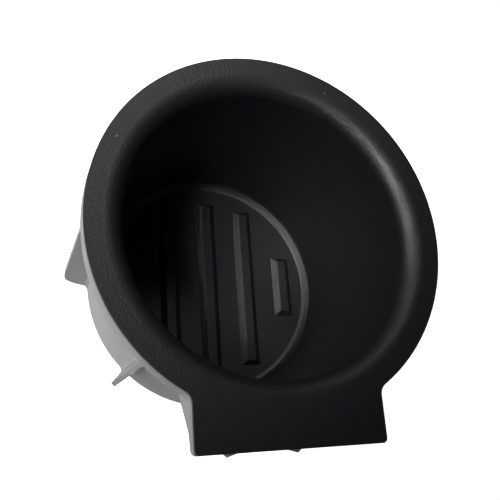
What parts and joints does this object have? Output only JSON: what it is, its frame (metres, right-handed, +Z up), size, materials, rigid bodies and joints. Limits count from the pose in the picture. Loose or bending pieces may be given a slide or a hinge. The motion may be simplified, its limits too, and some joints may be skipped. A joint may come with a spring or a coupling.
{
  "type": "car cup holder",
  "caption": "Drop-in cup holder for a vehicle console: a black ribbed liner with a flat rim and tab, in a grey finned carrier cup.",
  "frame": {"origin": "on the cup's axis, in the plane of the flat base", "axes": "+Z up along the cup's axis, -Y towards the tab, +X to the right seen from the tab"},
  "size_m": [0.092, 0.0991, 0.0606],
  "materials": {
    "black_liner": "fine moulded grain, matte",
    "grey_carrier": "plain moulded, satin"
  },
  "bodies": {
    "root": {"liner": "black_liner", "carrier": "grey_carrier"}
  },
  "joints": []
}
